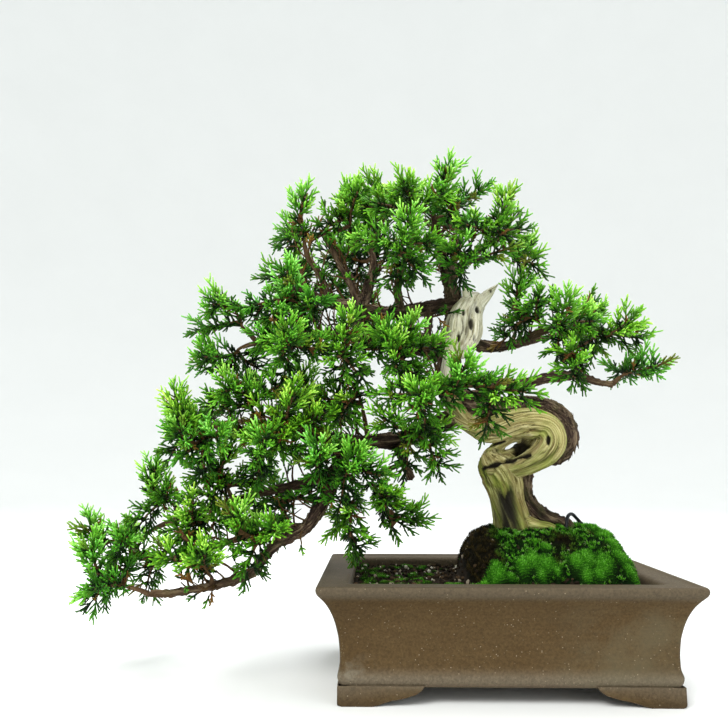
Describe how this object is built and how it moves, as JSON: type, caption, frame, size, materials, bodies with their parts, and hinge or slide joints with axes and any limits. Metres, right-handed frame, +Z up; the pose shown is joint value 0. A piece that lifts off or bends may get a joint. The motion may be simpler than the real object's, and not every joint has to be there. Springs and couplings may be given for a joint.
{
  "type": "bonsai tree",
  "caption": "Chinese juniper bonsai with a hollow looping trunk of bare deadwood, a broken top and a sweeping low branch, in a footed rectangular clay pot",
  "frame": {"origin": "bottom centre of the whole object's bounding box, on the plane the pot's feet stand on", "axes": "+X along the pot's length to the viewer's right, which is also the longest extent; +Y away from the viewer; +Z up"},
  "size_m": [0.4274, 0.1838, 0.3887],
  "materials": {
    "clay": "unglazed, matte, brown",
    "screen": null,
    "soil": "granular, dark",
    "moss": "velvety, bright green",
    "deadwood": "bare weathered wood",
    "bark": "flaky bark",
    "wire": "black coated wire",
    "foliage": "soft scale leaves, yellow-green tips"
  },
  "bodies": {
    "root": {"anchor_wire": "wire", "deadwood": "deadwood", "drain_screen_left": "screen", "drain_screen_right": "screen", "foliage_back_1": "foliage", "foliage_back_2": "foliage", "foliage_back_3": "foliage", "foliage_back_4": "foliage", "foliage_back_5": "foliage", "foliage_back_6": "foliage", "foliage_cascade_1": "foliage", "foliage_cascade_2": "foliage", "foliage_cascade_3": "foliage", "foliage_crown_1": "foliage", "foliage_crown_10": "foliage", "foliage_crown_2": "foliage", "foliage_crown_3": "foliage", "foliage_crown_4": "foliage", "foliage_crown_5": "foliage", "foliage_crown_6": "foliage", "foliage_crown_7": "foliage", "foliage_crown_8": "foliage", "foliage_crown_9": "foliage", "foliage_front_1": "foliage", "foliage_front_2": "foliage", "foliage_front_3": "foliage", "foliage_front_4": "foliage", "foliage_front_5": "foliage", "foliage_front_6": "foliage", "foliage_hanging_1": "foliage", "foliage_hanging_2": "foliage", "foliage_left_1": "foliage", "foliage_left_2": "foliage", "foliage_left_3": "foliage", "foliage_left_4": "foliage", "foliage_left_5": "foliage", "foliage_left_6": "foliage", "foliage_low_1": "foliage", "foliage_low_2": "foliage", "foliage_low_3": "foliage", "foliage_low_4": "foliage", "foliage_low_5": "foliage", "foliage_middle_1": "foliage", "foliage_middle_2": "foliage", "foliage_middle_3": "foliage", "foliage_middle_4": "foliage", "foliage_middle_5": "foliage", "foliage_middle_6": "foliage", "foliage_right_1": "foliage", "foliage_right_2": "foliage", "foliage_right_3": "foliage", "foliage_right_4": "foliage", "foliage_right_5": "foliage", "foliage_upper_1": "foliage", "foliage_upper_2": "foliage", "foliage_upper_3": "foliage", "live_wood": "bark", "moss_mound": "moss", "pot": "clay", "soil": "soil"}
  },
  "joints": []
}
